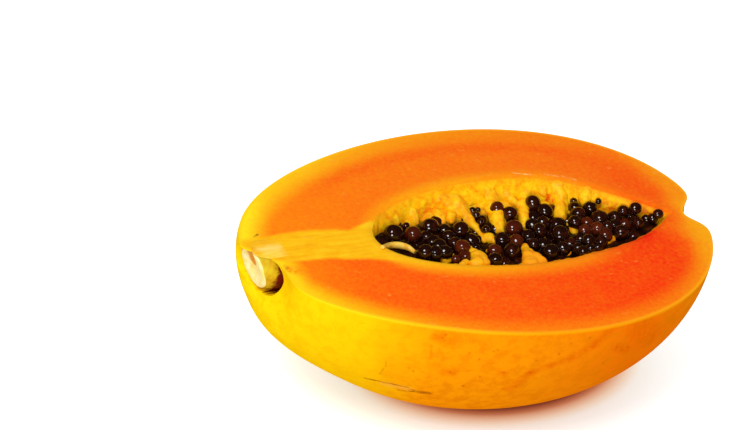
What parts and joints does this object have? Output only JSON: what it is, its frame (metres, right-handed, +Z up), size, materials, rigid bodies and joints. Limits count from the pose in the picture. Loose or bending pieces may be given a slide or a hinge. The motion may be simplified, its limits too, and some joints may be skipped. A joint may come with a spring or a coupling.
{
  "type": "papaya half",
  "caption": "Ripe papaya cut in half lengthwise, resting on its skin: orange flesh and rind round a hollow with a heap of dark seeds, and the stump of the stalk at one end.",
  "frame": {"origin": "middle of the small flat spot that the half rests on", "axes": "+Z up, square to the cut face; +X along the fruit from the stalk end to the flower end; -Y is the side that faces the viewer"},
  "size_m": [0.1785, 0.1166, 0.0656],
  "materials": {
    "flesh_and_skin": "moist orange flesh inside a smooth yellow rind",
    "seeds": "wet glossy black seeds with pulp between them",
    "stalk": "pale dry cut stalk with a greenish side"
  },
  "bodies": {
    "root": {"papaya_half": "flesh_and_skin", "seed_heap": "seeds", "stalk_stump": "stalk"}
  },
  "joints": []
}
